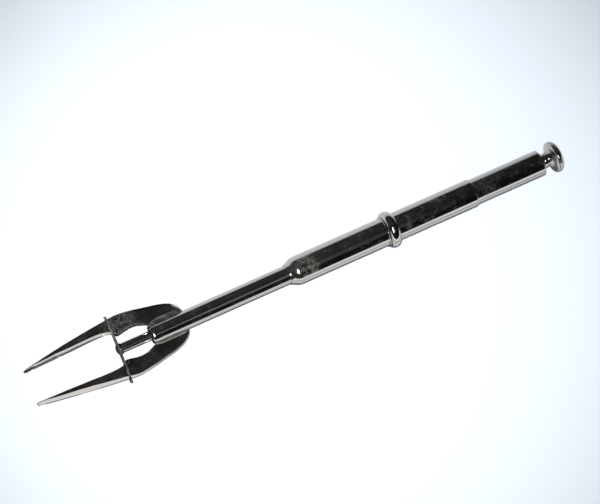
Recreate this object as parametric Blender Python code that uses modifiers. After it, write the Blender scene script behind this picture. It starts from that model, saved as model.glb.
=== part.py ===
"""Plunger-action serving fork with two flat tines and a sliding ejector bar.

The fork's long axis runs along X: the tine tips are at the low end and the thumb button at the high end.
+Z is up, the two tines lie side by side in Y, and the origin is the centre of the base of the bounding box,
so the finger collar touches Z = 0. Pressing the button slides the sleeve, the rod and the ejector bar
towards the tips, and the coil spring in the barrel brings them back.
"""

import bpy
import bmesh
from math import cos, pi, radians, sin

MM = 0.001

# Lengths below are in millimetres, and X is measured from the middle of the fork.
AXIS_HEIGHT = 6.46  # the fork's axis above the base, which is the collar's radius
FIT = 0.05  # gap between fixed pieces that are fitted into each other
RUNNING = 0.06  # radial clearance of the sliding pieces
STROKE = 25.0  # the plunger's travel towards the tips
FACETS = 40  # sides of a full turn on the large round pieces
SMALL_FACETS = 24  # sides of a full turn on the rod and the small round pieces

TIP_X = -101.5
BUTTON_END_X = 101.5

# Fork head
PLATE_THICKNESS = 1.7
TIP_THICKNESS = 0.7
THINNING_START_X = -80.0
TINE_TIP_Y = 5.75
EYE_X, EYE_HALF_WIDTH = -62.6, 5.0
NECK_X, NECK_HALF_WIDTH = -68.3, 4.2
PLATE_EDGE_BEVEL = 0.3

# Shaft
SHAFT_RADIUS = 3.30
SHAFT_WALL = 0.45
SHAFT_MOUTH_X = -57.6
SHAFT_REAR_X = 1.6
ROD_RADIUS = 1.6

# Barrel
NOSE_X = -6.5
SHOULDER_X = -3.3
BARREL_RADIUS = 4.95
BARREL_WALL = 0.35
BARREL_REAR_X = 65.8
COLLAR_X = 33.2
COLLAR_RADIUS = AXIS_HEIGHT
COLLAR_HALF_WIDTH = 1.95
COLLAR_RING_X = 30.95
COLLAR_RING_RADIUS = 5.4

# Plunger
SLEEVE_WALL = 0.35
SLEEVE_RADIUS = BARREL_RADIUS - BARREL_WALL - RUNNING
SLEEVE_FRONT_X = 17.0 + STROKE  # it stops at 17 mm, on the squeezed spring
SLEEVE_REAR_X = 92.6
BOSS_RADIUS = 2.9
BOSS_END_X = 94.25
STEM_RADIUS = 2.45
STEM_TENON_RADIUS = 1.4
STEM_END_X = 96.2
BUTTON_RADIUS = 5.48
BUTTON_RIM_X = 98.8

# Ejector
BAR_X = -69.3
BAR_THICKNESS = 0.5
BAR_HALF_LENGTH = 11.9
BAR_HEIGHT = 3.0
SLOT_INNER_Y, SLOT_OUTER_Y = 4.55, 11.1
SLOT_HEIGHT = 2.1
TENON_RADIUS = 0.8
RIVET_RADIUS = 1.6
WASHER_RADIUS = 1.9

# Return spring
SPRING_RADIUS = 2.7
SPRING_WIRE_RADIUS = 0.25
SPRING_TURNS = 14
SPRING_FRONT_X = 3.35

PLATED = {"color": (0.78, 0.76, 0.72, 1.0), "roughness": 0.14}
BRASS = {"color": (0.72, 0.53, 0.27, 1.0), "roughness": 0.32}
SPRING_STEEL = {"color": (0.42, 0.42, 0.43, 1.0), "roughness": 0.35}


def clear_scene():
    for obj in list(bpy.data.objects):
        bpy.data.objects.remove(obj, do_unlink=True)


def new_collection(name, hidden=False):
    collection = bpy.data.collections.new(name)
    bpy.context.scene.collection.children.link(collection)
    collection.hide_render = hidden
    return collection


def new_empty(name, collection):
    empty = bpy.data.objects.new(name, None)
    empty.location = (0.0, 0.0, AXIS_HEIGHT * MM)
    empty.empty_display_size = 0.01
    collection.objects.link(empty)
    return empty


def give_material(obj, look):
    material = bpy.data.materials.new(obj.name)
    material.use_nodes = True
    shader = material.node_tree.nodes["Principled BSDF"]
    shader.inputs["Base Color"].default_value = look["color"]
    shader.inputs["Roughness"].default_value = look["roughness"]
    shader.inputs["Metallic"].default_value = 1.0
    obj.data.materials.append(material)


def turned(name, profile, parent, collection, look, facets=FACETS):
    """A piece turned about the fork's axis. The profile is a closed loop of (x, radius) in millimetres,
    listed from the button end to the tip end along its outside, then back along its bore."""
    mesh = bpy.data.meshes.new(name)
    bm = bmesh.new()
    corners = [bm.verts.new((radius * MM, 0.0, x * MM)) for x, radius in profile]
    closed = min(radius for _, radius in profile) > 0.0
    for first, second in zip(corners, corners[1:]):
        bm.edges.new((first, second))
    if closed:
        bm.edges.new((corners[-1], corners[0]))
    bm.to_mesh(mesh)
    bm.free()
    obj = bpy.data.objects.new(name, mesh)
    obj.rotation_euler = (0.0, radians(90.0), 0.0)
    obj.parent = parent
    collection.objects.link(obj)
    screw = obj.modifiers.new("turn", "SCREW")
    screw.steps = facets
    screw.render_steps = facets
    screw.use_merge_vertices = True
    screw.merge_threshold = 0.00001
    screw.use_smooth_shade = True
    give_material(obj, look)
    return obj


def ring_profile(front_x, rear_x, outer, inner, chamfer=0.0):
    """The section of a plain tube or washer, with a small chamfer on its outer edges."""
    if chamfer:
        outside = [
            (rear_x, outer - chamfer),
            (rear_x - chamfer, outer),
            (front_x + chamfer, outer),
            (front_x, outer - chamfer),
        ]
    else:
        outside = [(rear_x, outer), (front_x, outer)]
    return outside + [(front_x, inner), (rear_x, inner)]


def arc(centre_x, centre_r, size_x, size_r, start, end, steps):
    """Points of an elliptical arc in the (x, radius) plane, angles in degrees from the button direction."""
    points = []
    for i in range(steps + 1):
        angle = radians(start + (end - start) * i / steps)
        points.append((centre_x + size_x * cos(angle), centre_r + size_r * sin(angle)))
    return points


def mesh_from_curve(obj):
    """The curve object as a mesh object of the same name, with its caps welded."""
    name, location, parent = obj.name, obj.location.copy(), obj.parent
    collection = obj.users_collection[0]
    bpy.context.view_layer.update()
    evaluated = obj.evaluated_get(bpy.context.evaluated_depsgraph_get())
    mesh = bpy.data.meshes.new_from_object(evaluated)
    bm = bmesh.new()
    bm.from_mesh(mesh)
    bmesh.ops.remove_doubles(bm, verts=bm.verts, dist=0.000001)
    bmesh.ops.recalc_face_normals(bm, faces=bm.faces)
    bm.to_mesh(mesh)
    bm.free()
    bpy.data.objects.remove(obj, do_unlink=True)
    solid = bpy.data.objects.new(name, mesh)
    mesh.name = name
    solid.location = location
    solid.parent = parent
    collection.objects.link(solid)
    return solid


def tine_outline(side):
    """The outline of one half of the fork head as (x, y, corner), starting at the tine's tip and going
    round its outer edge, along the shaft and back through the eye and the inner edge of the tine."""
    shaft_side = SHAFT_RADIUS + FIT
    outer = [
        (TIP_X, TINE_TIP_Y, True),
        (-99.3, 6.6, False),
        (-95.5, 7.35, False),
        (-88.9, 8.35, False),
        (-78.0, 9.8, False),
        (-70.7, 10.6, False),
        (-65.9, 11.0, False),
        (-61.0, 10.45, False),
        (-55.6, 9.4, False),
        (-51.6, 8.6, False),
        (-48.9, 7.8, False),
        (-47.3, 7.0, False),
        (-45.9, 5.8, False),
        (-44.6, shaft_side, True),
    ]
    inner = [
        (SHAFT_MOUTH_X + 0.6, shaft_side, True),
        (-59.4, 4.3, False),
        (EYE_X, EYE_HALF_WIDTH, False),
        (-65.6, 4.65, False),
        (NECK_X, NECK_HALF_WIDTH, True),
        (-70.0, 5.5, False),
        (-73.4, 5.92, False),
        (-82.3, 5.68, False),
        (-92.0, 5.33, False),
        (-98.5, 5.3, False),
    ]
    return [(x, side * y, corner) for x, y, corner in outer + inner]


def tine_plate(name, side, parent, collection):
    """One tine and its half of the plate, brazed to the side of the shaft."""
    outline = tine_outline(side)
    curve = bpy.data.curves.new(name, "CURVE")
    curve.dimensions = "2D"
    curve.fill_mode = "BOTH"
    curve.extrude = PLATE_THICKNESS / 2 * MM
    curve.resolution_u = 3
    curve.render_resolution_u = 3
    spline = curve.splines.new("BEZIER")
    spline.bezier_points.add(len(outline) - 1)
    for point, (x, y, corner) in zip(spline.bezier_points, outline):
        point.co = (x * MM, y * MM, 0.0)
        kind = "VECTOR" if corner else "AUTO"
        point.handle_left_type = kind
        point.handle_right_type = kind
    spline.use_cyclic_u = True
    obj = bpy.data.objects.new(name, curve)
    obj.parent = parent
    collection.objects.link(obj)
    obj = mesh_from_curve(obj)
    for vertex in obj.data.vertices:
        along = min(1.0, max(0.0, (THINNING_START_X * MM - vertex.co.x) / ((THINNING_START_X - TIP_X) * MM)))
        vertex.co.z *= 1.0 - along * (1.0 - TIP_THICKNESS / PLATE_THICKNESS)
    bevel = obj.modifiers.new("edges", "BEVEL")
    bevel.width = PLATE_EDGE_BEVEL * MM
    bevel.segments = 1
    bevel.limit_method = "ANGLE"
    bevel.angle_limit = radians(60.0)
    give_material(obj, PLATED)
    return obj


def fork_head(parent, collection):
    tine_plate("tine_plate_left", 1.0, parent, collection)
    tine_plate("tine_plate_right", -1.0, parent, collection)


def shaft(parent, collection):
    inner = SHAFT_RADIUS - SHAFT_WALL
    tube = ring_profile(SHAFT_MOUTH_X, SHAFT_REAR_X, SHAFT_RADIUS, inner, 0.15)
    turned("shaft_tube", tube, parent, collection, PLATED)
    bore = ROD_RADIUS + RUNNING
    front_guide = ring_profile(SHAFT_MOUTH_X + 0.35, -51.5, inner - FIT, bore, 0.2)
    turned("rod_guide_front", front_guide, parent, collection, BRASS, SMALL_FACETS)
    rear_guide = ring_profile(-5.0, 1.2, inner - FIT, bore, 0.2)
    turned("rod_guide_rear", rear_guide, parent, collection, BRASS, SMALL_FACETS)


def barrel(parent, collection):
    inner = BARREL_RADIUS - BARREL_WALL
    bore = SHAFT_RADIUS + FIT
    tube = ring_profile(SHOULDER_X + 0.9, BARREL_REAR_X, BARREL_RADIUS, inner, 0.1)
    turned("barrel_tube", tube, parent, collection, PLATED)

    spigot = inner - FIT
    nose = [(1.6, spigot), (SHOULDER_X + 0.85, spigot), (SHOULDER_X + 0.85, BARREL_RADIUS)]
    nose += arc(SHOULDER_X, 3.9, 2.3, BARREL_RADIUS - 3.9, 90.0, 165.0, 6)
    nose += arc(NOSE_X + 0.3, 4.15, 0.65, 0.6, 330.0, 270.0, 3)
    nose += [(NOSE_X, bore + 0.1), (NOSE_X, bore), (1.6, bore)]
    turned("barrel_nose", nose, parent, collection, PLATED)

    seat = ring_profile(1.9, 2.9, spigot, ROD_RADIUS + 0.35, 0.15)
    turned("spring_seat", seat, parent, collection, BRASS, SMALL_FACETS)


def finger_collar(parent, collection):
    bore = BARREL_RADIUS + FIT
    crown = arc(COLLAR_X, bore, COLLAR_HALF_WIDTH, COLLAR_RADIUS - bore, 8.0, 172.0, 12)
    bead = crown + [(COLLAR_X - COLLAR_HALF_WIDTH, bore), (COLLAR_X + COLLAR_HALF_WIDTH, bore)]
    turned("finger_collar", bead, parent, collection, PLATED)

    ring_half_width = 0.27
    crown = arc(COLLAR_RING_X, bore, ring_half_width, COLLAR_RING_RADIUS - bore, 15.0, 165.0, 4)
    ring = crown + [(COLLAR_RING_X - ring_half_width, bore), (COLLAR_RING_X + ring_half_width, bore)]
    turned("collar_ring", ring, parent, collection, PLATED)


def spring_points():
    """The spring's centre line: closed turns at both ends and an even pitch between them."""
    rear_x = SLEEVE_FRONT_X - SPRING_WIRE_RADIUS - 0.1
    per_turn = 12
    closed_pitch = 2.0 * SPRING_WIRE_RADIUS + 0.08
    open_turns = SPRING_TURNS - 2
    open_pitch = (rear_x - SPRING_FRONT_X - 2.0 * closed_pitch) / open_turns
    points = []
    for i in range(SPRING_TURNS * per_turn + 1):
        turn = i / per_turn
        x = SPRING_FRONT_X + closed_pitch * min(turn, 1.0)
        x += open_pitch * min(max(turn - 1.0, 0.0), open_turns)
        x += closed_pitch * max(turn - 1.0 - open_turns, 0.0)
        angle = 2.0 * pi * turn
        points.append((x, SPRING_RADIUS * cos(angle), SPRING_RADIUS * sin(angle)))
    return points


def return_spring(parent, collection):
    points = spring_points()
    curve = bpy.data.curves.new("return_spring", "CURVE")
    curve.dimensions = "3D"
    curve.bevel_depth = SPRING_WIRE_RADIUS * MM
    curve.bevel_resolution = 1
    curve.use_fill_caps = True
    spline = curve.splines.new("POLY")
    spline.points.add(len(points) - 1)
    for point, (x, y, z) in zip(spline.points, points):
        point.co = (x * MM, y * MM, z * MM, 1.0)
    obj = bpy.data.objects.new("return_spring", curve)
    obj.parent = parent
    collection.objects.link(obj)
    give_material(obj, SPRING_STEEL)


def sleeve(parent, collection):
    inner = SLEEVE_RADIUS - SLEEVE_WALL
    tube = ring_profile(SLEEVE_FRONT_X, SLEEVE_REAR_X, SLEEVE_RADIUS, inner, 0.1)
    turned("plunger_sleeve", tube, parent, collection, PLATED)

    rod_bore = ROD_RADIUS + FIT
    plug = ring_profile(SLEEVE_FRONT_X, SLEEVE_FRONT_X + 4.0, inner - FIT, rod_bore, 0.2)
    turned("sleeve_plug", plug, parent, collection, BRASS, SMALL_FACETS)

    face_x = SLEEVE_REAR_X + 0.1
    cap = [(BOSS_END_X, BOSS_RADIUS - 0.25), (BOSS_END_X - 0.2, BOSS_RADIUS), (93.35, BOSS_RADIUS)]
    cap += [(93.2, BOSS_RADIUS + 0.15)]
    cap += arc(face_x, SLEEVE_RADIUS - 0.5, 93.2 - face_x, 0.5, 0.0, 90.0, 4)
    cap += [(face_x, inner - FIT), (90.2, inner - FIT), (90.2, rod_bore), (BOSS_END_X, rod_bore)]
    turned("sleeve_end_cap", cap, parent, collection, PLATED)


def push_rod(parent, collection):
    rear_x = 92.4
    bar_front_x = BAR_X - BAR_THICKNESS / 2
    shoulder_x = BAR_X + BAR_THICKNESS / 2 + 0.1
    profile = [(rear_x, 0.0), (rear_x, ROD_RADIUS - 0.15), (rear_x - 0.15, ROD_RADIUS)]
    profile += [(shoulder_x, ROD_RADIUS), (shoulder_x, TENON_RADIUS)]
    profile += [(bar_front_x, TENON_RADIUS), (bar_front_x, 0.0)]
    turned("push_rod", profile, parent, collection, PLATED, SMALL_FACETS)


def button(parent, collection):
    shoulder_x = BOSS_END_X + FIT
    stem = [(99.6, 0.0), (99.6, STEM_TENON_RADIUS), (STEM_END_X, STEM_TENON_RADIUS)]
    stem += [(STEM_END_X, STEM_RADIUS), (STEM_END_X - 0.6, STEM_RADIUS - 0.08)]
    stem += [(shoulder_x + 0.5, STEM_RADIUS), (shoulder_x, STEM_RADIUS - 0.1)]
    stem += [(shoulder_x, STEM_TENON_RADIUS), (92.6, STEM_TENON_RADIUS), (92.6, 0.0)]
    turned("button_stem", stem, parent, collection, PLATED, SMALL_FACETS)

    bore = STEM_TENON_RADIUS + FIT
    front_x = STEM_END_X + FIT
    rim_x = BUTTON_RIM_X - 0.25
    back = [(rim_x, BUTTON_RADIUS - 0.3)]
    depth, height = rim_x - 0.1 - front_x, BUTTON_RADIUS - STEM_RADIUS - 0.4
    back += arc(rim_x - 0.1, STEM_RADIUS + 0.3, depth, height, 90.0, 170.0, 7)
    back += [(front_x, STEM_RADIUS + 0.1), (front_x, bore), (rim_x, bore)]
    turned("button_back", back, parent, collection, PLATED)

    base_x = BUTTON_RIM_X + 0.5
    front_x = BUTTON_RIM_X - 0.2
    dome = arc(base_x, 0.0, BUTTON_END_X - base_x, BUTTON_RADIUS - 0.12, 0.0, 78.0, 9)
    dome[0] = (BUTTON_END_X, 0.0)
    dome += [(base_x - 0.05, BUTTON_RADIUS), (BUTTON_RIM_X, BUTTON_RADIUS), (front_x, BUTTON_RADIUS - 0.2)]
    dome += [(front_x, bore), (99.7, bore), (99.7, 0.0)]
    turned("button_dome", dome, parent, collection, PLATED)


def box(name, size, location, parent, collection):
    mesh = bpy.data.meshes.new(name)
    bm = bmesh.new()
    bmesh.ops.create_cube(bm, size=1.0)
    for vertex in bm.verts:
        vertex.co = [coordinate * length * MM for coordinate, length in zip(vertex.co, size)]
    bm.to_mesh(mesh)
    bm.free()
    obj = bpy.data.objects.new(name, mesh)
    obj.location = [coordinate * MM for coordinate in location]
    obj.parent = parent
    collection.objects.link(obj)
    return obj


def subtract(obj, cutter):
    cutter.hide_render = True
    cutter.display_type = "WIRE"
    cut = obj.modifiers.new(cutter.name, "BOOLEAN")
    cut.operation = "DIFFERENCE"
    cut.solver = "EXACT"
    cut.object = cutter


def ejector(parent, collection, cutters):
    """The bar that rides along both tines, the rivet that holds it and the washer behind it."""
    bar_size = (BAR_THICKNESS, 2.0 * BAR_HALF_LENGTH, BAR_HEIGHT)
    bar = box("ejector_bar", bar_size, (BAR_X, 0.0, 0.0), parent, collection)
    slot_size = (BAR_THICKNESS * 3.0, SLOT_OUTER_Y - SLOT_INNER_Y, SLOT_HEIGHT)
    slot_y = (SLOT_OUTER_Y + SLOT_INNER_Y) / 2.0
    for label, side in (("left", 1.0), ("right", -1.0)):
        slot = box("slot_cutter_" + label, slot_size, (BAR_X, side * slot_y, 0.0), parent, cutters)
        subtract(bar, slot)
    rear_x, front_x, bore = BAR_X + 2.0, BAR_X - 2.0, TENON_RADIUS + FIT
    hole_profile = [(rear_x, 0.0), (rear_x, bore), (front_x, bore), (front_x, 0.0)]
    hole = turned("tenon_hole_cutter", hole_profile, parent, cutters, PLATED, SMALL_FACETS)
    subtract(bar, hole)
    bevel = bar.modifiers.new("edges", "BEVEL")
    bevel.width = 0.12 * MM
    bevel.segments = 1
    bevel.limit_method = "ANGLE"
    bevel.angle_limit = radians(60.0)
    give_material(bar, PLATED)

    front_x = BAR_X - BAR_THICKNESS / 2 - 0.1
    head = [(front_x, 0.0), (front_x, RIVET_RADIUS - 0.1), (front_x - 0.15, RIVET_RADIUS)]
    head += arc(front_x - 0.15, 0.0, 0.55, RIVET_RADIUS, 100.0, 180.0, 5)
    head[-1] = (front_x - 0.7, 0.0)
    turned("ejector_rivet", head, parent, collection, PLATED, SMALL_FACETS)

    rear_x = BAR_X + BAR_THICKNESS / 2 + 0.15
    washer = ring_profile(rear_x, rear_x + 0.6, WASHER_RADIUS, ROD_RADIUS + FIT, 0.1)
    turned("ejector_washer", washer, parent, collection, PLATED, SMALL_FACETS)


def build():
    clear_scene()
    parts = new_collection("plunger_fork")
    cutters = new_collection("cutters", hidden=True)
    handle = new_empty("handle_axis", parts)
    plunger = new_empty("plunger_axis", parts)

    fork_head(handle, parts)
    shaft(handle, parts)
    barrel(handle, parts)
    finger_collar(handle, parts)
    return_spring(handle, parts)
    sleeve(plunger, parts)
    push_rod(plunger, parts)
    button(plunger, parts)
    ejector(plunger, parts, cutters)


build()
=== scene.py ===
from math import cos, hypot, pi, radians, sin

import bmesh
import bpy
import numpy as np
from mathutils import Matrix, Vector

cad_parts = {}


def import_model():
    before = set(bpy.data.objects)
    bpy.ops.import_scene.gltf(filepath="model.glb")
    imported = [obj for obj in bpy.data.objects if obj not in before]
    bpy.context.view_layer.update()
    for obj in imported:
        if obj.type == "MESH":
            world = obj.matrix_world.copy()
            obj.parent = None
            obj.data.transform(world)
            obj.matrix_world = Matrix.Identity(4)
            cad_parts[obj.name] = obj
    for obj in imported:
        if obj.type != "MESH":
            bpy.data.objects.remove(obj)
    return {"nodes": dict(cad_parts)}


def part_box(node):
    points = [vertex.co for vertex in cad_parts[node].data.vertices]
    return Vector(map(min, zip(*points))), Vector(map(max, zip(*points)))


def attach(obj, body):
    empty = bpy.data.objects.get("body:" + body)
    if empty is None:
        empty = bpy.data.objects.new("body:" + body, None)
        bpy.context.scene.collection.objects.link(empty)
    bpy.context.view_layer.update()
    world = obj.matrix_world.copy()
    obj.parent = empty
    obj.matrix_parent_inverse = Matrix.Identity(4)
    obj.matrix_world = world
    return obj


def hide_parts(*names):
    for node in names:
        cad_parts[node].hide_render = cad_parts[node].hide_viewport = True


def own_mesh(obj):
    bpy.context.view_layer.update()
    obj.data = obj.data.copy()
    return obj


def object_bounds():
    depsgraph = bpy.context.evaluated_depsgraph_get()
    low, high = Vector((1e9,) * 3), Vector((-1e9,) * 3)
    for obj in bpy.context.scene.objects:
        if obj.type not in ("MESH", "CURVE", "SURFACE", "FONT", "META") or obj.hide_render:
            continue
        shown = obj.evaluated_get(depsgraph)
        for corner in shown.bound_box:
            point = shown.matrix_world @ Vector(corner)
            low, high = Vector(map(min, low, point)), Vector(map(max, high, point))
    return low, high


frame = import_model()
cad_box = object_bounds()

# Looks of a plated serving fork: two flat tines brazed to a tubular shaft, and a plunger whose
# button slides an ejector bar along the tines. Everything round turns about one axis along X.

MM = 0.001  # outlines below are in millimetres, with x from the middle of the fork
SIDES, THIN_SIDES = 144, 96  # sides of a full turn, and of the thinnest pieces' turn
HANDLE, PLUNGER = "handle", "plunger"


# ---------------------------------------------------------------- sizes read from the frame

def extent(node):
    """(front x, rear x, radius) in millimetres of a CAD piece that is turned about the axis."""
    low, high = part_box(node)
    return low.x / MM, high.x / MM, (high.y - low.y) / 2 / MM


def place(x, y=0.0, z=0.0):
    """A point in metres, from millimetres along the fork and across and above its axis."""
    return x * MM, y * MM, AXIS_Z + z * MM


barrel_low, barrel_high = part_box("barrel_tube")
AXIS_Z = (barrel_low.z + barrel_high.z) / 2  # the height of the fork's axis, in metres
SHAFT_FRONT, SHAFT_REAR, SHAFT_R = extent("shaft_tube")
BARREL_FRONT, BARREL_REAR, BARREL_R = extent("barrel_tube")
COLLAR_FRONT, COLLAR_REAR, COLLAR_R = extent("finger_collar")
SLEEVE_FRONT, SLEEVE_REAR, SLEEVE_R = extent("plunger_sleeve")
ROD_FRONT, ROD_REAR, ROD_R = extent("push_rod")
STEM_FRONT, STEM_REAR, STEM_R = extent("button_stem")


# ---------------------------------------------------------------- outlines

def arc(centre_x, centre_r, size_x, size_r, start, end, steps=10):
    """Points of an elliptical arc in the (x, radius) plane, with angles in degrees from +X."""
    angles = [radians(start + (end - start) * i / steps) for i in range(steps + 1)]
    return [(centre_x + size_x * cos(a), centre_r + size_r * sin(a)) for a in angles]


def smooth_through(points, x):
    """The height at x of a smooth curve through the points, which run along rising x."""
    px, py = np.array(points, float).T
    slopes = np.gradient(py, px)
    i = int(np.clip(np.searchsorted(px, x) - 1, 0, len(px) - 2))
    step = px[i + 1] - px[i]
    t = min(1.0, max(0.0, (x - px[i]) / step))
    return float(
        py[i] * (1 + 2 * t) * (1 - t) ** 2
        + py[i + 1] * t * t * (3 - 2 * t)
        + step * slopes[i] * t * (1 - t) ** 2
        + step * slopes[i + 1] * t * t * (t - 1)
    )


def smooth_step(x, start, end):
    t = min(1.0, max(0.0, (x - start) / (end - start)))
    return t * t * (3 - 2 * t)


def round_corners(corners, steps=5):
    """A closed outline whose corners (u, v, cut) are rounded, starting cut away from the corner."""
    points = []
    for i, corner in enumerate(corners):
        here = np.array(corner[:2])
        cut = corner[2] if len(corner) > 2 else 0.0
        if cut == 0.0:
            points.append(tuple(here))
            continue
        ends = []
        for other in (corners[i - 1], corners[(i + 1) % len(corners)]):
            way = np.array(other[:2]) - here
            length = max(1e-9, hypot(*way))
            ends.append(here + way / length * min(cut, 0.45 * length))
        for s in range(steps + 1):
            t = s / steps
            points.append(tuple(ends[0] * (1 - t) ** 2 + here * 2 * t * (1 - t) + ends[1] * t * t))
    return points


def hold_bends(points, closed=True, hold=0.06):
    """Adds a point near both ends of each long straight, so that smooth shading keeps it straight."""
    held = []
    count = len(points)
    for i, point in enumerate(points):
        held.append(point)
        if i == count - 1 and not closed:
            break
        here, after = np.array(point), np.array(points[(i + 1) % count])
        length = hypot(*(after - here))
        if length > 8 * hold:
            held.append(tuple(here + (after - here) * hold / length))
            held.append(tuple(after - (after - here) * hold / length))
    return held


# ---------------------------------------------------------------- mesh building

def finish_mesh(name, bm, sharp_angle=40.0):
    bmesh.ops.recalc_face_normals(bm, faces=bm.faces)
    mesh = bpy.data.meshes.new(name)
    bm.to_mesh(mesh)
    bm.free()
    mesh.shade_smooth()
    mesh.set_sharp_from_angle(angle=radians(sharp_angle))
    obj = bpy.data.objects.new(name, mesh)
    bpy.context.scene.collection.objects.link(obj)
    return obj


def turned(name, outline, sides=SIDES):
    """A piece turned about the fork's axis, from a closed outline of (x, radius) or (x, radius, cut)."""
    points = hold_bends(round_corners(outline))
    solid = min(radius for _, radius in points) < 1e-6
    bm = bmesh.new()
    rings = []
    for x, radius in points:
        if radius < 1e-6:
            rings.append([bm.verts.new(place(x))])
            continue
        angles = [2 * pi * i / sides for i in range(sides)]
        rings.append([bm.verts.new(place(x, radius * cos(a), radius * sin(a))) for a in angles])
    pairs = list(zip(rings, rings[1:]))
    if not solid:
        pairs.append((rings[-1], rings[0]))
    for first, second in pairs:
        for i in range(sides):
            j = (i + 1) % sides
            if len(first) == 1 and len(second) == 1:
                continue
            if len(first) == 1:
                bm.faces.new((first[0], second[j], second[i]))
            elif len(second) == 1:
                bm.faces.new((first[i], first[j], second[0]))
            else:
                bm.faces.new((first[i], first[j], second[j], second[i]))
    return finish_mesh(name, bm)


def lofted(name, ribs, start, end, sharp_angle=40.0):
    """A closed body through ribs of equally many points, drawn together to a point at both ends."""
    bm = bmesh.new()
    rows = [[bm.verts.new(p) for p in rib] for rib in ribs]
    count = len(rows[0])
    for first, second in zip(rows, rows[1:]):
        for i in range(count):
            j = (i + 1) % count
            bm.faces.new((first[i], first[j], second[j], second[i]))
    for row, point in ((rows[0], start), (rows[-1], end)):
        apex = bm.verts.new(point)
        for i in range(count):
            bm.faces.new((row[i], row[(i + 1) % count], apex))
    return finish_mesh(name, bm, sharp_angle)


def put(obj, body, material, slot, *nodes):
    """Dresses a piece: its material, the body it rides on and the nodes it stands for, which it hides. Its
    slot is not used.
    """
    obj.data.materials.append(material)
    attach(obj, body)
    if nodes:
        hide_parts(*nodes)
    return obj


# ---------------------------------------------------------------- materials

def node(tree, kind, inputs=None, **settings):
    made = tree.nodes.new(kind)
    for key, value in settings.items():
        setattr(made, key, value)
    for key, value in (inputs or {}).items():
        if isinstance(value, bpy.types.NodeSocket):
            tree.links.new(value, made.inputs[key])
        else:
            made.inputs[key].default_value = value
    return made


def maths(tree, operation, first, second=0.5, clamp=False):
    inputs = {0: first, 1: second}
    return node(tree, "ShaderNodeMath", inputs, operation=operation, use_clamp=clamp).outputs[0]


def fade(tree, value, low, high, to_low=0.0, to_high=1.0):
    """value, brought smoothly from low..high to to_low..to_high."""
    inputs = {"Value": value, "From Min": low, "From Max": high, "To Min": to_low, "To Max": to_high}
    return node(tree, "ShaderNodeMapRange", inputs, interpolation_type="SMOOTHSTEP").outputs[0]


def noise(tree, where, scale, detail=4.0, roughness=0.55, distortion=0.0):
    inputs = {"Vector": where, "Scale": scale, "Detail": detail}
    inputs.update({"Roughness": roughness, "Distortion": distortion})
    return node(tree, "ShaderNodeTexNoise", inputs).outputs["Fac"]


def stretched(tree, where, scale, turn=(0.0, 0.0, 0.0), shift=(0.0, 0.0, 0.0)):
    inputs = {"Vector": where, "Scale": scale, "Rotation": [radians(a) for a in turn], "Location": shift}
    return node(tree, "ShaderNodeMapping", inputs).outputs[0]


def mix_colour(tree, share, first, second):
    made = tree.nodes.new("ShaderNodeMix")
    made.data_type = "RGBA"
    for socket, value in ((made.inputs[0], share), (made.inputs[6], first), (made.inputs[7], second)):
        if isinstance(value, bpy.types.NodeSocket):
            tree.links.new(value, socket)
        else:
            socket.default_value = value
    return made.outputs[2]


def scratches(tree, where):
    """Thin crossing lines, gathered in patches."""
    slanted = stretched(tree, where, (0.16, 1.5, 1.5), turn=(0.0, 25.0, 38.0))
    crossing = stretched(tree, where, (0.2, 1.2, 1.2), turn=(0.0, -30.0, -55.0), shift=(3.0, 1.0, 7.0))
    lines = []
    for lie, scale in ((slanted, 1.0), (crossing, 0.8)):
        off_middle = maths(tree, "SUBTRACT", noise(tree, lie, scale, 1.0, 0.4), 0.5)
        ridge = maths(tree, "ABSOLUTE", off_middle)
        lines.append(fade(tree, ridge, 0.0, 0.012, 1.0, 0.0))
    patches = fade(tree, noise(tree, where, 0.12, 2.0), 0.46, 0.58)
    return maths(tree, "MULTIPLY", maths(tree, "MAXIMUM", *lines), patches)


# Scales per millimetre of the buffing lines and of broader streaks, which run round the axis or along it.
GRAIN_LINES = {"round": (5.0, 0.22, 0.22), "long": (0.12, 4.0, 4.0)}
GRAIN_STREAKS = {"round": (0.10, 1.3, 1.3), "long": (0.10, 2.0, 2.0)}


def grime_cover(tree, coordinates, where, film_from, dull_zone):
    """How much grime lies on the metal: clouds with specks, and a ragged, duller zone where dull_zone puts
    it.
    """
    clouds = noise(tree, where, 0.33, 6.0, 0.62, 0.4)
    specks = maths(tree, "SUBTRACT", noise(tree, where, 2.1, 3.0, 0.6), 0.5)
    cloudy = maths(tree, "ADD", clouds, maths(tree, "MULTIPLY", specks, 0.3))
    grime = fade(tree, cloudy, film_from, film_from + 0.2)
    if not dull_zone:
        return grime
    middle, half_width, strength = dull_zone
    along = node(tree, "ShaderNodeSeparateXYZ", {0: coordinates}).outputs["X"]
    away = maths(tree, "ABSOLUTE", maths(tree, "SUBTRACT", along, middle))
    zone = fade(tree, away, half_width * 0.4, half_width, strength, 0.0)
    ragged = fade(tree, noise(tree, where, 0.9, 5.0, 0.65), 0.38, 0.62)
    return maths(tree, "ADD", grime, maths(tree, "MULTIPLY", zone, ragged))


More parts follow.
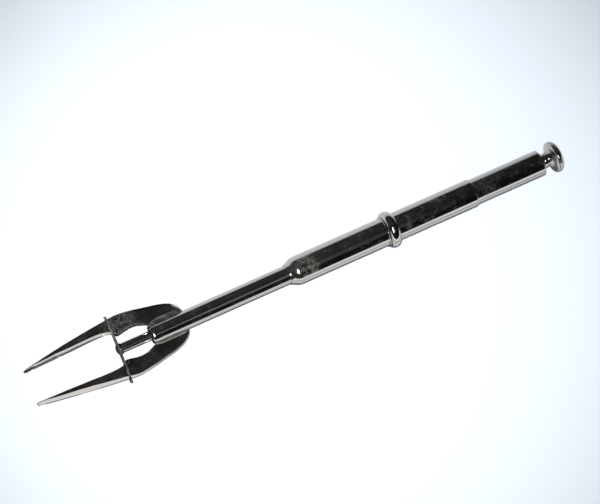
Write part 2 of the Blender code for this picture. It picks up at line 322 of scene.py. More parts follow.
def metal(
    name, tint, dull_tint, roughness, film=0.1, film_from=0.52, grain="round", grain_depth=0.0010,
    shift=0.0, anisotropic=0.0, dull_zone=None,
):
    """Plated or bare metal under a cloudy film of grime, with buffing lines and scratches.

    film is how much the grime hides the metal, and dull_zone is a duller, greyer zone's (x, half width,
    strength).
    Its patterns are in millimetres."""
    material = bpy.data.materials.new(name)
    material.use_nodes = True
    tree = material.node_tree
    shader = tree.nodes["Principled BSDF"]
    coordinates = node(tree, "ShaderNodeTexCoord").outputs["Object"]
    coordinates = stretched(tree, coordinates, (1 / MM, 1 / MM, 1 / MM))
    where = stretched(tree, coordinates, (1.0, 1.0, 1.0), shift=(shift, shift * 0.7, -shift))

    grime = grime_cover(tree, coordinates, where, film_from, dull_zone)
    lines = noise(tree, stretched(tree, where, GRAIN_LINES[grain]), 1.0, 5.0, 0.7)
    broad = noise(tree, stretched(tree, where, GRAIN_STREAKS[grain]), 1.0, 4.0, 0.6)
    streaks = fade(tree, broad, 0.50, 0.72)
    scratch = scratches(tree, where)

    hidden = maths(tree, "MULTIPLY", grime, film)
    hidden = maths(tree, "ADD", hidden, maths(tree, "MULTIPLY", streaks, 0.25 * film))
    hidden = maths(tree, "ADD", hidden, maths(tree, "MULTIPLY", scratch, 0.06))
    colour = mix_colour(tree, maths(tree, "MULTIPLY", hidden, 2.0, True), tint, dull_tint)
    rough = maths(tree, "ADD", maths(tree, "MULTIPLY", hidden, 0.6), roughness)
    uneven = maths(tree, "MULTIPLY", maths(tree, "SUBTRACT", lines, 0.5), 0.08)
    rough = maths(tree, "ADD", rough, uneven)
    rough = maths(tree, "MAXIMUM", rough, 0.04)
    height = maths(tree, "SUBTRACT", lines, maths(tree, "MULTIPLY", scratch, 0.8))
    bump_inputs = {"Height": height, "Distance": grain_depth * MM, "Strength": 1.0}
    bump = node(tree, "ShaderNodeBump", bump_inputs)

    tree.links.new(maths(tree, "SUBTRACT", 1.0, hidden, True), shader.inputs["Metallic"])
    shader.inputs["Specular IOR Level"].default_value = 0.2
    tree.links.new(colour, shader.inputs["Base Color"])
    tree.links.new(rough, shader.inputs["Roughness"])
    tree.links.new(bump.outputs[0], shader.inputs["Normal"])
    if anisotropic:
        shader.inputs["Anisotropic"].default_value = anisotropic
        tangent = node(tree, "ShaderNodeTangent", direction_type="RADIAL", axis="X")
        tree.links.new(tangent.outputs[0], shader.inputs["Tangent"])
    return material


SILVER = (0.42, 0.395, 0.375, 1.0)
WARM_DULL = (0.42, 0.40, 0.33, 1.0)
GREY_DULL = (0.38, 0.38, 0.38, 1.0)
BRASS = (0.62, 0.44, 0.20, 1.0)
BROWN_BRASS = (0.28, 0.18, 0.09, 1.0)
STEEL = (0.26, 0.25, 0.24, 1.0)
DARK_STEEL = (0.14, 0.12, 0.11, 1.0)


# ---------------------------------------------------------------- fork head

TIP_X, NECK_X, WIDEST_X, EYE_REAR, PLATE_REAR = -101.5, -68.3, -65.9, -57.0, -44.6
# Outlines of one half of the fork head as (x, distance from the axis).
OUTER_EDGE = [
    (TIP_X, 6.1), (-100.8, 6.4), (-99.3, 6.75), (-95.5, 7.4), (-88.9, 8.4), (-78.0, 9.8), (-70.7, 10.6),
    (WIDEST_X, 11.0), (-61.0, 10.45), (-55.6, 9.4), (-51.6, 8.6), (-48.9, 7.8), (-47.3, 7.05),
    (-45.9, 5.95), (-45.0, 4.8), (PLATE_REAR, 3.35),
]
TINE_INNER_EDGE = [
    (TIP_X, 5.45), (-100.8, 5.25), (-98.5, 5.25), (-92.0, 5.35), (-82.3, 5.68), (-73.4, 5.92), (-71.4, 5.8),
    (-69.9, 5.45), (-69.0, 4.85), (NECK_X, 4.2),
]
EYE_EDGE = [
    (NECK_X, 4.2), (-67.0, 4.35), (-65.2, 4.75), (-62.6, 5.0), (-60.9, 4.8), (-59.4, 4.3), (EYE_REAR, 3.35),
]
TIP_Y = 5.75  # the points' distance from the axis
PLATE_GAP = 0.05  # between the plates' inner edges and the shaft
PLATE_THICKNESS, TIP_THICKNESS = 1.7, 1.1
THINNING_START = -80.0
# Widths of the bevels on the top edges as (x, width), and how deep they cut for their width.
INNER_BEVEL = [
    (TIP_X, 1.95), (-90.0, 1.95), (-73.0, 1.5), (NECK_X, 0.75), (EYE_REAR, 0.6), (PLATE_REAR, 0.6),
]
OUTER_BEVEL = [(TIP_X, 2.15), (-89.0, 2.15), (-71.0, 1.5), (-66.0, 1.0), (PLATE_REAR, 0.8)]
BEVEL_SLOPE = 0.84
LEAST_SIDE = 0.12  # the share of the thickness that every bevel leaves standing
WALL_LEAN = 0.34  # how far the walls that face -Y lean out at their foot
UNEVEN_GRINDING = 0.8  # how much broader the bevels that face -Y get towards the tip
BRAZE_SIZE = {1.0: 1.4, -1.0: 0.55}  # of the fillets on the +Y and the -Y side


def inner_edge(x):
    if x >= EYE_REAR:
        return SHAFT_R + PLATE_GAP
    return smooth_through(TINE_INNER_EDGE if x < NECK_X else EYE_EDGE, x)


def outer_edge(x):
    return smooth_through(OUTER_EDGE, x)


def plate_thickness(x):
    along = min(1.0, max(0.0, (THINNING_START - x) / (THINNING_START - TIP_X)))
    return PLATE_THICKNESS + (TIP_THICKNESS - PLATE_THICKNESS) * along


def bevel_across(edge, table, x):
    """The bevel's width measured along Y, from its width square to the edge."""
    slope = (edge(x + 0.3) - edge(x - 0.3)) / 0.6
    xs, widths = zip(*table)
    return float(np.interp(x, xs, widths)) * min(2.0, hypot(1.0, slope))


def tine_section(x, side):
    """The section of one half of the fork head at x, as (y, z) corners with their rounding.

    Towards the tip the bevels that face -Y are ground broader, and their walls lean out at the foot."""
    near, far = inner_edge(x), outer_edge(x)
    width = far - near
    before_shaft = 1.0 - smooth_step(x, EYE_REAR - 1.0, EYE_REAR + 0.2)
    inner = bevel_across(inner_edge, INNER_BEVEL, x) * before_shaft
    outer = bevel_across(outer_edge, OUTER_BEVEL, x)
    uneven = UNEVEN_GRINDING * smooth_step(x, -82.0, -99.0)
    inner *= 1.0 + side * uneven
    outer *= 1.0 - side * uneven
    inner_lean, outer_lean = (WALL_LEAN, 0.0) if side > 0 else (0.0, WALL_LEAN)
    if x > NECK_X:
        inner_lean = 0.0
    share = min(1.0, width / (inner + outer))
    inner, outer = inner * share, outer * share
    thickness = plate_thickness(x)
    base, top = -thickness / 2, thickness / 2
    lean_share = min(1.0, width / (4 * WALL_LEAN))
    inner_lean, outer_lean = inner_lean * lean_share, outer_lean * lean_share
    reach = thickness * (1.0 - LEAST_SIDE) / BEVEL_SLOPE
    inner_reach = min(reach, max(0.02, inner - inner_lean))
    outer_reach = min(reach, max(0.02, outer - outer_lean))
    inner_side = thickness - BEVEL_SLOPE * inner_reach
    outer_side = thickness - BEVEL_SLOPE * outer_reach
    return [
        (near, base, 0.15),
        (near + inner_lean, base + inner_side, 0.10),
        (near + inner_lean + inner_reach, top, 0.14),
        (far - outer_lean - outer_reach, top, 0.14),
        (far - outer_lean, base + outer_side, 0.10),
        (far, base, 0.15),
    ]


def tine_stations():
    tip = [TIP_X + 0.15 * 1.35**i for i in range(8)]
    middle = list(np.arange(tip[-1] + 0.4, PLATE_REAR - 3.0, 0.4))
    rear = list(np.arange(PLATE_REAR - 2.9, PLATE_REAR - 0.1, 0.15))
    special = [NECK_X - 0.02, NECK_X + 0.02]
    stations = sorted(tip + middle + rear + special)
    return [x for i, x in enumerate(stations) if i == 0 or x - stations[i - 1] > 0.015]


def resample_section(corners, rounding_steps=3, hold=0.05):
    """Rounded section with the same number of points whatever the lengths of its sides."""
    rounded = round_corners(corners, rounding_steps)
    per_corner = rounding_steps + 1
    points = []
    for c in range(len(corners)):
        group = rounded[c * per_corner:(c + 1) * per_corner]
        points += group
        here, after = np.array(group[-1]), np.array(rounded[((c + 1) * per_corner) % len(rounded)])
        length = max(1e-9, hypot(*(after - here)))
        reach = min(hold, 0.3 * length)
        points.append(tuple(here + (after - here) * reach / length))
        points.append(tuple(after - (after - here) * reach / length))
    return points


def make_tine(name, side):
    ribs = []
    for x in tine_stations():
        section = resample_section(tine_section(x, side))
        ribs.append([place(x, side * y, z) for y, z in section])
    tip = place(TIP_X, side * TIP_Y, -0.1)
    rear = place(PLATE_REAR, side * (SHAFT_R + PLATE_GAP))
    return lofted(name, ribs, tip, rear, sharp_angle=38.0)


def make_braze(name, side, up):
    """The fillet of braze where the plate meets the shaft, above or below the plate."""
    front, rear = EYE_REAR - 0.2, PLATE_REAR - 0.5
    level = PLATE_THICKNESS / 2
    steps = 60
    ribs = []
    for i in range(steps + 1):
        x = front + (rear - front) * i / steps
        size = BRAZE_SIZE[side] * (0.25 + 0.75 * smooth_step(x, front - 0.4, front + 2.5))
        size *= 0.25 + 0.75 * smooth_step(rear - x, 0.0, 2.2)
        size *= 1.0 + 0.03 * sin(x * 1.3 + side) + 0.01 * sin(x * 2.9 + up)
        high = level + size * 0.75
        shaft_y = (SHAFT_R**2 - high**2) ** 0.5 - 0.02
        low_y = min(SHAFT_R + PLATE_GAP + size, outer_edge(x) - 0.35)
        curve = []
        for s in range(9):
            t = s / 8
            y = shaft_y * (1 - t) ** 2 + (SHAFT_R + 0.25) * 2 * t * (1 - t) + low_y * t * t
            z = high * (1 - t) ** 2 + (level + 0.25) * 2 * t * (1 - t) + (level - 0.01) * t * t
            curve.append((y, z))
        curve += [(low_y - 0.05, level - 0.1), (shaft_y - 0.1, level - 0.1)]
        ribs.append([place(x, side * y, up * z) for y, z in curve])
    centre = [Vector(np.mean(ribs[k], axis=0)) for k in (0, -1)]
    return lofted(name, ribs, centre[0], centre[1], sharp_angle=50.0)


def fork_head(left_metal, right_metal, braze_metal):
    for label, side, plate_metal in (("left", 1.0, left_metal), ("right", -1.0, right_metal)):
        slot = "tine_plate_" + label
        tine = make_tine("tine_" + label, side)
        put(tine, HANDLE, plate_metal, slot, slot)
        for level, up in (("top", 1.0), ("base", -1.0)):
            put(make_braze(f"braze_{label}_{level}", side, up), HANDLE, braze_metal, slot)


# ---------------------------------------------------------------- shaft and barrel

SHAFT_WALL, TUBE_WALL = 0.45, 0.35
RUNNING_GAP, FIXED_GAP = 0.06, 0.05  # round moving pieces, and between fixed ones
NOSE_LIP_R = 3.62
LIP_X = -6.2
# The nose's shoulder as (x, radius). It ends at the barrel's seam.
SHOULDER = [
    (LIP_X, NOSE_LIP_R), (-5.95, 3.68), (-5.5, 3.92), (-4.8, 4.33), (-4.0, 4.66), (-3.2, 4.87),
    (BARREL_FRONT, BARREL_R),
]


def bead(front, rear, foot, top, steps):
    """The outline of a round bead on a tube of radius foot."""
    return arc((front + rear) / 2, foot, (rear - front) / 2, top - foot, 2.0, 178.0, steps)


def shaft(material, bush_metal):
    inner = SHAFT_R - SHAFT_WALL
    outline = [(SHAFT_REAR, SHAFT_R, 0.1)]
    outline += arc(SHAFT_FRONT + 1.4, SHAFT_R - 0.32, 1.4, 0.32, 90.0, 180.0, 12)
    outline += [(SHAFT_FRONT, inner, 0.06), (SHAFT_REAR, inner, 0.1)]
    put(turned("shaft", outline), HANDLE, material, "shaft_tube", "shaft_tube")

    front, rear, radius = extent("rod_guide_front")
    bore = ROD_R + RUNNING_GAP
    bush = [(rear, radius, 0.15), (front, radius, 0.15), (front, bore, 0.12), (rear, bore, 0.12)]
    put(turned("rod_bush", bush), HANDLE, bush_metal, "rod_guide_front", "rod_guide_front")


def barrel(nose_metal, barrel_metal, collar_metal):
    front, rear, _ = extent("barrel_nose")
    bore = SHAFT_R + FIXED_GAP
    seam = BARREL_FRONT
    spigot = BARREL_R - TUBE_WALL - FIXED_GAP
    outline = [(rear, spigot), (seam, spigot), (seam, BARREL_R)]
    outline += [(x, smooth_through(SHOULDER, x)) for x in np.linspace(seam - 0.1, LIP_X + 0.05, 26)]
    outline += [(front, NOSE_LIP_R, 0.22), (front, bore, 0.05), (rear, bore)]
    put(turned("nose", outline), HANDLE, nose_metal, "barrel_nose", "barrel_nose")

    inner = BARREL_R - TUBE_WALL
    tube = [(BARREL_REAR, BARREL_R, 0.3), (seam, BARREL_R)]
    tube += [(seam, inner, 0.05), (BARREL_REAR, inner, 0.05)]
    put(turned("barrel", tube), HANDLE, barrel_metal, "barrel_tube", "barrel_tube")

    foot = BARREL_R + 0.02
    outline = bead(COLLAR_FRONT, COLLAR_REAR, foot, COLLAR_R, 36)
    put(turned("collar", outline), HANDLE, collar_metal, "finger_collar", "finger_collar")
    front, rear, radius = extent("collar_ring")
    outline = bead(front, rear, foot, radius, 18)
    put(turned("collar_bead", outline), HANDLE, collar_metal, "collar_ring", "collar_ring")


# ---------------------------------------------------------------- plunger

STEM_BEAD_X, STEM_BEAD_HALF = 95.15, 0.8
SLOT_INNER, SLOT_OUTER, SLOT_HALF = 4.55, 11.1, 1.05  # the bar's windows: from y to y, and half height
STEP_DEPTH = 0.5  # of the bar's top over the near tine
BAR_BEND = 0.3  # of the bar's ends towards the tips


def sleeve(material, cap_metal):
    inner = SLEEVE_R - TUBE_WALL
    tube = [(SLEEVE_REAR, SLEEVE_R), (SLEEVE_FRONT, SLEEVE_R, 0.1)]
    tube += [(SLEEVE_FRONT, inner, 0.05), (SLEEVE_REAR, inner)]
    put(turned("sleeve", tube), PLUNGER, material, "plunger_sleeve", "plunger_sleeve")

    front, rear, _ = extent("sleeve_end_cap")
    face = SLEEVE_REAR + 0.6
    boss = STEM_R + 0.45
    plug_r, bore = inner - FIXED_GAP, ROD_R + FIXED_GAP
    outline = [(rear, boss, 0.45), (face + 0.1, boss, 0.12)]
    outline += [(face, SLEEVE_R - 0.9), (face, SLEEVE_R, 0.55)]
    outline += [(SLEEVE_REAR, SLEEVE_R), (SLEEVE_REAR, plug_r), (front, plug_r, 0.1)]
    outline += [(front, bore, 0.1), (rear, bore, 0.05)]
    put(turned("end_cap", outline), PLUNGER, cap_metal, "sleeve_end_cap", "sleeve_end_cap")


def rod(material):
    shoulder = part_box("ejector_bar")[1].x / MM
    pin_r = 0.75
    outline = [(ROD_REAR, 0.0), (ROD_REAR, ROD_R, 0.15), (shoulder, ROD_R, 0.08)]
    outline += [(shoulder, pin_r), (ROD_FRONT, pin_r), (ROD_FRONT, 0.0)]
    put(turned("rod", outline, THIN_SIDES), PLUNGER, material, "push_rod", "push_rod")


def stem(material):
    """The button's neck: a bead between two thinner spigots."""
    spigot_r, foot_r = 1.4, 1.5
    neck_r = STEM_R - 0.25
    bead_front, bead_rear = STEM_BEAD_X - STEM_BEAD_HALF, STEM_BEAD_X + STEM_BEAD_HALF
    shoulder = 96.3
    outline = [(STEM_REAR, 0.0), (STEM_REAR, spigot_r, 0.1), (shoulder, spigot_r)]
    outline += [(shoulder, STEM_R - 0.1, 0.15), (bead_rear + 0.05, neck_r)]
    outline += arc(STEM_BEAD_X, neck_r, STEM_BEAD_HALF, 0.35, 0.0, 180.0, 14)
    foot = bead_front - 0.05
    outline += [(foot, neck_r), (foot, foot_r), (STEM_FRONT, foot_r), (STEM_FRONT, 0.0)]
    put(turned("stem", outline, THIN_SIDES), PLUNGER, material, "button_stem", "button_stem")


def button(material, under_metal):
    bore = 1.45
    front, rear, radius = extent("button_back")
    face = rear - 1.05
    outline = [(rear, radius, 0.1), (rear - 0.45, radius, 0.3), (face, radius - 1.1, 0.8)]
    outline += [(face - 0.25, STEM_R + 0.9, 0.6), (front, STEM_R + 0.1, 0.05), (front, bore), (rear, bore)]
    put(turned("button_underside", outline), PLUNGER, under_metal, "button_back", "button_back")

    front, rear, radius = extent("button_dome")
    rim_front, rim_rear, top = front + 0.1, front + 0.75, rear - 0.2
    socket_end = 99.7
    dome = arc(rim_rear, 0.0, top - rim_rear, radius - 0.15, 0.0, 84.0, 24)
    dome[0] = (top, 0.0)
    dome += [(rim_rear, radius, 0.15), (rim_front, radius, 0.15), (front, radius - 0.35, 0.1)]
    dome += [(front, bore), (socket_end, bore), (socket_end, 0.0)]
    put(turned("button_cap", dome), PLUNGER, material, "button_dome", "button_dome")


def is_end_corner(edge, half_length, half_height, near=1e-6):
    """Whether the edge is a corner of the bar's end that runs through its thickness, sizes in metres."""
    first, second = (v.co for v in edge.verts)
    at_end = all(abs(abs(p.y) - half_length) < near for p in (first, second))
    return at_end and abs(first.x - second.x) > 1e-5 and abs(abs(first.z - AXIS_Z) - half_height) < near


def in_fixed_order(bm):
    """The same mesh with its faces listed by their corners, as extruding lists them anew in each run."""
    bm.verts.index_update()
    faces = []
    for face in bm.faces:
        corners = [v.index for v in face.verts]
        first = corners.index(min(corners))
        faces.append(corners[first:] + corners[:first])
    ordered = bmesh.new()
    verts = [ordered.verts.new(v.co) for v in bm.verts]
    for corners in sorted(faces):
        ordered.faces.new([verts[i] for i in corners])
    bm.free()
    return ordered


def bar_mesh(name):
    """The ejector bar: a flat strip with one window for each tine. Its top steps down over the near one."""
    low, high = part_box("ejector_bar")
    half_length, half_height = high.y / MM, (high.z - low.z) / 2 / MM
    marks = [-half_length, -SLOT_OUTER, -SLOT_INNER, SLOT_INNER, SLOT_OUTER, half_length]
    ys = []
    for a, b in zip(marks, marks[1:]):
        steps = max(1, round((b - a) / 0.2))
        ys += [a + (b - a) * i / steps for i in range(steps)]
    ys.append(half_length)
    zs = [-half_height, -SLOT_HALF, SLOT_HALF, half_height]
    bm = bmesh.new()
    grid = {}

    def corner(i, k):
        if (i, k) not in grid:
            grid[i, k] = bm.verts.new((low.x, ys[i] * MM, AXIS_Z + zs[k] * MM))
        return grid[i, k]

    for i in range(len(ys) - 1):
        middle = abs(ys[i] + ys[i + 1]) / 2
        for k in range(3):
            if k == 1 and SLOT_INNER < middle < SLOT_OUTER:
                continue
            bm.faces.new((corner(i, k), corner(i + 1, k), corner(i + 1, k + 1), corner(i, k + 1)))
    made = bmesh.ops.extrude_face_region(bm, geom=bm.faces[:])
    moved = [v for v in made["geom"] if isinstance(v, bmesh.types.BMVert)]
    bmesh.ops.translate(bm, verts=moved, vec=(high.x - low.x, 0.0, 0.0))
    bmesh.ops.recalc_face_normals(bm, faces=bm.faces)
    ends = [e for e in bm.edges if is_end_corner(e, high.y, half_height * MM)]
    bmesh.ops.bevel(bm, geom=ends, offset=0.6 * MM, segments=5, profile=0.5, affect="EDGES")
    edges = [e for e in bm.edges if len(e.link_faces) == 2 and e.calc_face_angle() > radians(60)]
    bmesh.ops.bevel(bm, geom=edges, offset=0.1 * MM, segments=3, profile=0.5, affect="EDGES")
    for v in bm.verts:
        if v.co.z - AXIS_Z > (half_height - 0.25) * MM:
            near_y = -v.co.y / MM
            step = smooth_step(near_y, 5.9, 6.9) - smooth_step(near_y, 9.6, 10.6)
            v.co.z -= STEP_DEPTH * MM * step
        v.co.x -= BAR_BEND * MM * (v.co.y / high.y) ** 2
    return finish_mesh(name, in_fixed_order(bm), sharp_angle=35.0)


def ejector(material):
    put(bar_mesh("bar"), PLUNGER, material, "ejector_bar", "ejector_bar")
    front, rear, radius = extent("ejector_rivet")
    head = [(rear, 0.0), (rear, radius - 0.05, 0.08)]
    head += arc(rear - 0.1, 0.0, rear - 0.1 - front, radius, 96.0, 180.0, 14)
    head[-1] = (front, 0.0)
    put(turned("rivet", head, THIN_SIDES), PLUNGER, material, "ejector_rivet", "ejector_rivet")
    front, rear, radius = extent("ejector_washer")
    ring = [(rear, radius - 0.1, 0.15), (front, radius, 0.15), (front, ROD_R, 0.02), (rear, ROD_R, 0.02)]
    washer = turned("rod_washer", ring, THIN_SIDES)
    put(washer, PLUNGER, material, "ejector_washer", "ejector_washer")


# ---------------------------------------------------------------- return spring

def spring(material):
    front, rear, _ = extent("return_spring")
    wire, coil, turns, per_turn, around = 0.25, 2.7, 14, 40, 12
    front, rear = front + wire, rear - wire
    closed = 2 * wire + 0.08
    open_pitch = (rear - front - 2 * closed) / (turns - 2)
    centre = []
    for i in range(turns * per_turn + 1):
        turn = i / per_turn
        x = front + closed * min(turn, 1.0) + open_pitch * min(max(turn - 1.0, 0.0), turns - 2)
        x += closed * max(turn - turns + 1.0, 0.0)
        angle = 2 * pi * turn
        centre.append(Vector((x, coil * cos(angle), coil * sin(angle))))
    ribs = []
    for i, point in enumerate(centre):
        along = (centre[min(i + 1, len(centre) - 1)] - centre[max(i - 1, 0)]).normalized()
        outward = Vector((0.0, point.y, point.z)).normalized()
        across = along.cross(outward).normalized()
        outward = across.cross(along)
        ring = []
        for k in range(around):
            a = 2 * pi * k / around
            p = point + (outward * cos(a) + across * sin(a)) * wire
            ring.append(place(p.x, p.y, p.z))
        ribs.append(ring)
    ends = [Vector(np.mean(ribs[k], axis=0)) for k in (0, -1)]
    coil_obj = lofted("spring", ribs, ends[0], ends[1], sharp_angle=60.0)
    put(coil_obj, HANDLE, material, "return_spring", "return_spring")
    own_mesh(coil_obj)


# ---------------------------------------------------------------- stage, light and camera

LEAN = radians(15.5)  # the camera leans towards the tips
SQUARE = radians(97.0)  # and stands this far round from the near side towards straight above
ROLL = radians(23.86)
DISTANCE = 0.8117
AIM_ALONG, AIM_ACROSS = 0.944 * MM, 5.25 * MM


def view_axes():
    """The directions towards the camera, along the fork and across it as the camera sees them."""
    toward = Vector((-sin(LEAN), -cos(LEAN) * cos(SQUARE), cos(LEAN) * sin(SQUARE)))
    along = (Vector((1, 0, 0)) - toward * toward.x).normalized()
    return toward, along, toward.cross(along)


def aim_point():
    _, along, across = view_axes()
    return Vector((0.0, 0.0, AXIS_Z)) + along * AIM_ALONG + across * AIM_ACROSS


def camera():
    toward, along, across = view_axes()
    right = along * cos(ROLL) - across * sin(ROLL)
    up = along * sin(ROLL) + across * cos(ROLL)
    data = bpy.data.cameras.new("camera")
    data.lens = 144.0
    data.sensor_width = 36.0
    obj = bpy.data.objects.new("camera", data)
    turn = Matrix((right, up, toward)).transposed().to_4x4()
    obj.matrix_world = Matrix.Translation(aim_point() + toward * DISTANCE) @ turn
    bpy.context.scene.collection.objects.link(obj)
    bpy.context.scene.camera = obj


def floor_height(x):
    """The floor's height under x, both in metres. The fork lies on its collar and what touches next."""
    collar_x = (COLLAR_FRONT + COLLAR_REAR) / 2
    feet = [(TIP_X, TIP_THICKNESS / 2), (SHAFT_FRONT, SHAFT_R), (BARREL_FRONT, BARREL_R)]
    slope = min((COLLAR_R - depth) / (collar_x - foot_x) for foot_x, depth in feet)
    return AXIS_Z - (COLLAR_R + 0.02) * MM + (collar_x * MM - x) * slope


def floor():
    """A pale sheet under the fork."""
    bm = bmesh.new()
    bmesh.ops.create_grid(bm, x_segments=24, y_segments=24, size=3.0)
    for v in bm.verts:
        v.co.z = floor_height(v.co.x)
    sheet = finish_mesh("floor", bm)
    material = bpy.data.materials.new("paper")
    material.use_nodes = True
    tree = material.node_tree
    shader = tree.nodes["Principled BSDF"]
    where = node(tree, "ShaderNodeTexCoord").outputs["Object"]
    grain = noise(tree, where, 900.0, 3.0)
    broad = noise(tree, where, 5.0, 2.0)
    shader.inputs["Roughness"].default_value = 0.75
    shader.inputs["Specular IOR Level"].default_value = 0.2
    fine_share = 0.15
    grain = maths(tree, "MULTIPLY", grain, fine_share)
    broad = maths(tree, "MULTIPLY", broad, 1.0 - fine_share)
    shade = maths(tree, "ADD", grain, broad)
    colour = mix_colour(tree, shade, (0.82, 0.88, 0.94, 1.0), (0.86, 0.92, 0.97, 1.0))
    tree.links.new(colour, shader.inputs["Base Color"])
    sheet.data.materials.append(material)


def lamp(name, kind, energy, location, toward=None, **settings):
    """A light that looks towards a point, or straight down with its sides along X and Y."""
    data = bpy.data.lights.new(name, kind)
    data.energy = energy
    shown = {key: settings.pop(key) for key in list(settings) if key.startswith("visible_")}
    for key, value in settings.items():
        setattr(data, key, value)
    obj = bpy.data.objects.new(name, data)
    obj.location = location
    if toward is not None:
        obj.rotation_euler = (Vector(location) - toward).to_track_quat("Z", "Y").to_euler()
    for key, value in shown.items():
        setattr(obj, key, value)
    bpy.context.scene.collection.objects.link(obj)
    return obj


KEY_ACROSS = radians(2.0)  # the key light stands this far beyond the camera, on its far side
POOL_SHIFT = 15.0 * MM  # and its pool of light is centred this far towards the near side


# Flat lights in the dark room, seen only as reflections: power, place, and sides along X and Y.
REFLECTED_LIGHTS = {
    "small_light": (3.0, (-0.21, -0.10, 0.78), (0.03, 0.42), (0.93, 0.96, 1.0)),
    "mouth_light": (0.012, (0.10, -0.20, 0.8), (0.07, 0.12), (0.90, 0.95, 1.0)),
    "shaft_light": (0.019, (0.175, -0.15, 0.8), (0.08, 0.26), (0.90, 0.95, 1.0)),
    "barrel_light": (0.008, (0.26, -0.13, 0.8), (0.10, 0.40), (0.90, 0.95, 1.0)),
}


def lights():
    toward, _, across = view_axes()
    aim = aim_point()
    key = aim + (toward * cos(KEY_ACROSS) + across * sin(KEY_ACROSS)) * DISTANCE
    lamp(
        "key", "SPOT", 31.0, key, aim - across * POOL_SHIFT, spot_size=radians(28.0), spot_blend=1.0,
        shadow_soft_size=0.008, visible_glossy=False,
    )
    for name, (power, location, sides, colour) in REFLECTED_LIGHTS.items():
        lamp(
            name, "AREA", power, location, shape="RECTANGLE", size=sides[0], size_y=sides[1],
            visible_diffuse=False, color=colour,
        )


def painted_shadow_card():
    """A painted shadow: a dark strip on the floor along the near side, standing in for the shade under the
    fork. Only the metal sees it, as a painted reflection of shade low on its near edges.
    """
    bm = bmesh.new()
    low, high = cad_box
    front, rear = low.x / MM, high.x / MM
    near_edge = [(front, -9.5), (WIDEST_X, -17.5), (PLATE_REAR, -13.0), (rear, -14.5)]
    far_edge = [(rear, -5.0), (PLATE_REAR, -4.0), (PLATE_REAR, 3.0), (front, 5.0)]
    above_floor = 0.05 * MM
    corners = [(x * MM, y * MM, floor_height(x * MM) + above_floor) for x, y in near_edge + far_edge]
    bm.faces.new([bm.verts.new(corner) for corner in corners])
    card = finish_mesh("painted_shadow_card", bm)
    material = bpy.data.materials.new("painted_shadow_black")
    material.use_nodes = True
    shader = material.node_tree.nodes["Principled BSDF"]
    # the painted shadow's dark colour
    shader.inputs["Base Color"].default_value = (0.15, 0.15, 0.16, 1.0)
    shader.inputs["Roughness"].default_value = 0.9
    card.data.materials.append(material)
    for path in ("visible_camera", "visible_diffuse", "visible_shadow", "visible_transmission"):
        setattr(card, path, False)


def world():
    """A dark room, bright low down: a sharp band on the near side and a soft one on the far side."""
    made = bpy.data.worlds.new("room")
    bpy.context.scene.world = made
    made.use_nodes = True
    tree = made.node_tree
    tree.nodes.clear()
    direction = node(tree, "ShaderNodeTexCoord").outputs["Generated"]
    parts = node(tree, "ShaderNodeSeparateXYZ", {0: direction}).outputs
    low = fade(tree, parts["Z"], 0.29, 0.35, 1.0, 0.0)
    near = fade(tree, parts["Y"], -0.55, -0.05, 1.0, 0.0)
    far = fade(tree, parts["Y"], 0.05, 0.55, 0.0, 1.0)
    far_glow = maths(tree, "MULTIPLY", fade(tree, parts["Z"], -0.10, 0.05, 1.0, 0.0), far)
    near_glow = maths(tree, "MULTIPLY", low, near)
    across = fade(tree, parts["Y"], -0.6, 0.7)
    dark = mix_colour(tree, across, (0.010, 0.010, 0.010, 1.0), (0.045, 0.046, 0.045, 1.0))
    rear = fade(tree, parts["X"], 0.27, 0.37, 0.0, 0.55)
    dark = mix_colour(tree, rear, dark, (0.0, 0.0, 0.0, 1.0))
    room = mix_colour(tree, near_glow, dark, (1.50, 1.52, 1.53, 1.0))
    room = mix_colour(tree, far_glow, room, (0.35, 0.35, 0.34, 1.0))
    path = node(tree, "ShaderNodeLightPath").outputs
    fill = mix_colour(tree, path["Is Diffuse Ray"], room, (0.20, 0.21, 0.23, 1.0))
    shown = mix_colour(tree, path["Is Camera Ray"], fill, (0.93, 0.94, 0.96, 1.0))
    background = node(tree, "ShaderNodeBackground", {"Color": shown, "Strength": 1.0})
    output = node(tree, "ShaderNodeOutputWorld")
    tree.links.new(background.outputs[0], output.inputs["Surface"])


# ---------------------------------------------------------------- the whole

def carried_over(material, *names):
    for name in names:
        mesh = frame["nodes"][name].data
        mesh.materials.clear()
        mesh.materials.append(material)


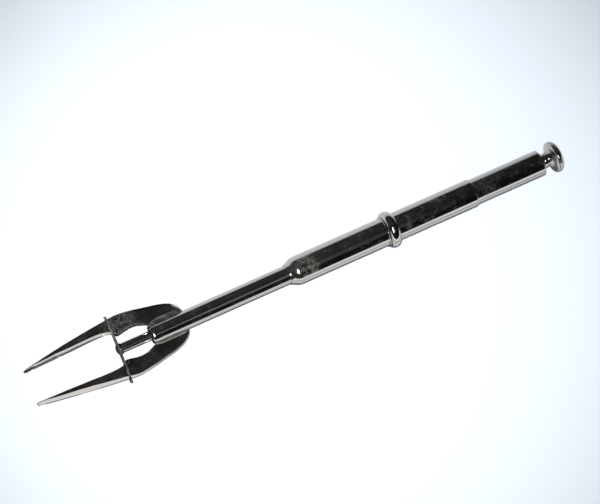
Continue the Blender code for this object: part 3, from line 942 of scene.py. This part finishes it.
def main():
    camera()
    floor()
    lights()
    # painted shadow under the near side, seen only in the metal's reflections
    painted_shadow_card()
    world()
    bpy.context.scene.view_settings.view_transform = "Standard"

    # The left plate has more film than the right, and a duller, greyer zone around its eye.
    left_plate = metal(
        "left_plate_silver", SILVER, WARM_DULL, 0.07, film=0.07, grain="long", shift=4.0,
        dull_zone=(-66.0, 8.0, 1.4),
    )
    right_plate = metal(
        "right_plate_silver", SILVER, WARM_DULL, 0.06, film=0.025, grain="long", shift=13.0,
    )
    braze = metal(
        "braze_silver", SILVER, WARM_DULL, 0.34, film=0.14, film_from=0.46, grain="long", shift=9.0,
    )
    shaft_silver = metal(
        "shaft_silver", SILVER, GREY_DULL, 0.12, film=0.05, shift=17.0, anisotropic=0.6,
    )
    barrel_silver = metal(
        "barrel_silver", SILVER, WARM_DULL, 0.10, film=0.10, shift=23.0, dull_zone=(0.0, 4.5, 1.6),
    )
    nose_silver = metal(
        "nose_silver", SILVER, WARM_DULL, 0.10, film=0.08, shift=31.0, dull_zone=(-4.0, 3.0, 0.8),
    )
    collar_silver = metal("collar_silver", SILVER, WARM_DULL, 0.08, film=0.04, shift=37.0)
    sleeve_silver = metal(
        "sleeve_silver", SILVER, GREY_DULL, 0.12, film=0.07, shift=41.0, dull_zone=(70.5, 5.0, 0.7),
    )
    rod_silver = metal("rod_silver", SILVER, GREY_DULL, 0.13, film=0.06, shift=47.0, anisotropic=0.6)
    button_silver = metal("button_silver", SILVER, WARM_DULL, 0.09, film=0.08, shift=53.0)
    under_silver = metal(
        "button_underside_silver", SILVER, WARM_DULL, 0.18, film=0.16, film_from=0.46, shift=59.0,
    )
    bar_silver = metal("bar_silver", DARK_STEEL, WARM_DULL, 0.42, film=0.10, grain="long", shift=61.0)
    brass = metal(
        "brass", BRASS, BROWN_BRASS, 0.3, film=0.4, film_from=0.45, grain_depth=0.003, shift=67.0,
    )
    spring_steel = metal(
        "spring_steel", STEEL, DARK_STEEL, 0.3, film=0.3, film_from=0.45, grain="long", shift=71.0,
    )

    fork_head(left_plate, right_plate, braze)
    shaft(shaft_silver, under_silver)
    barrel(nose_silver, barrel_silver, collar_silver)
    sleeve(sleeve_silver, under_silver)
    rod(rod_silver)
    stem(button_silver)
    button(button_silver, under_silver)
    ejector(bar_silver)
    spring(spring_steel)
    carried_over(brass, "rod_guide_rear", "spring_seat", "sleeve_plug")


main()
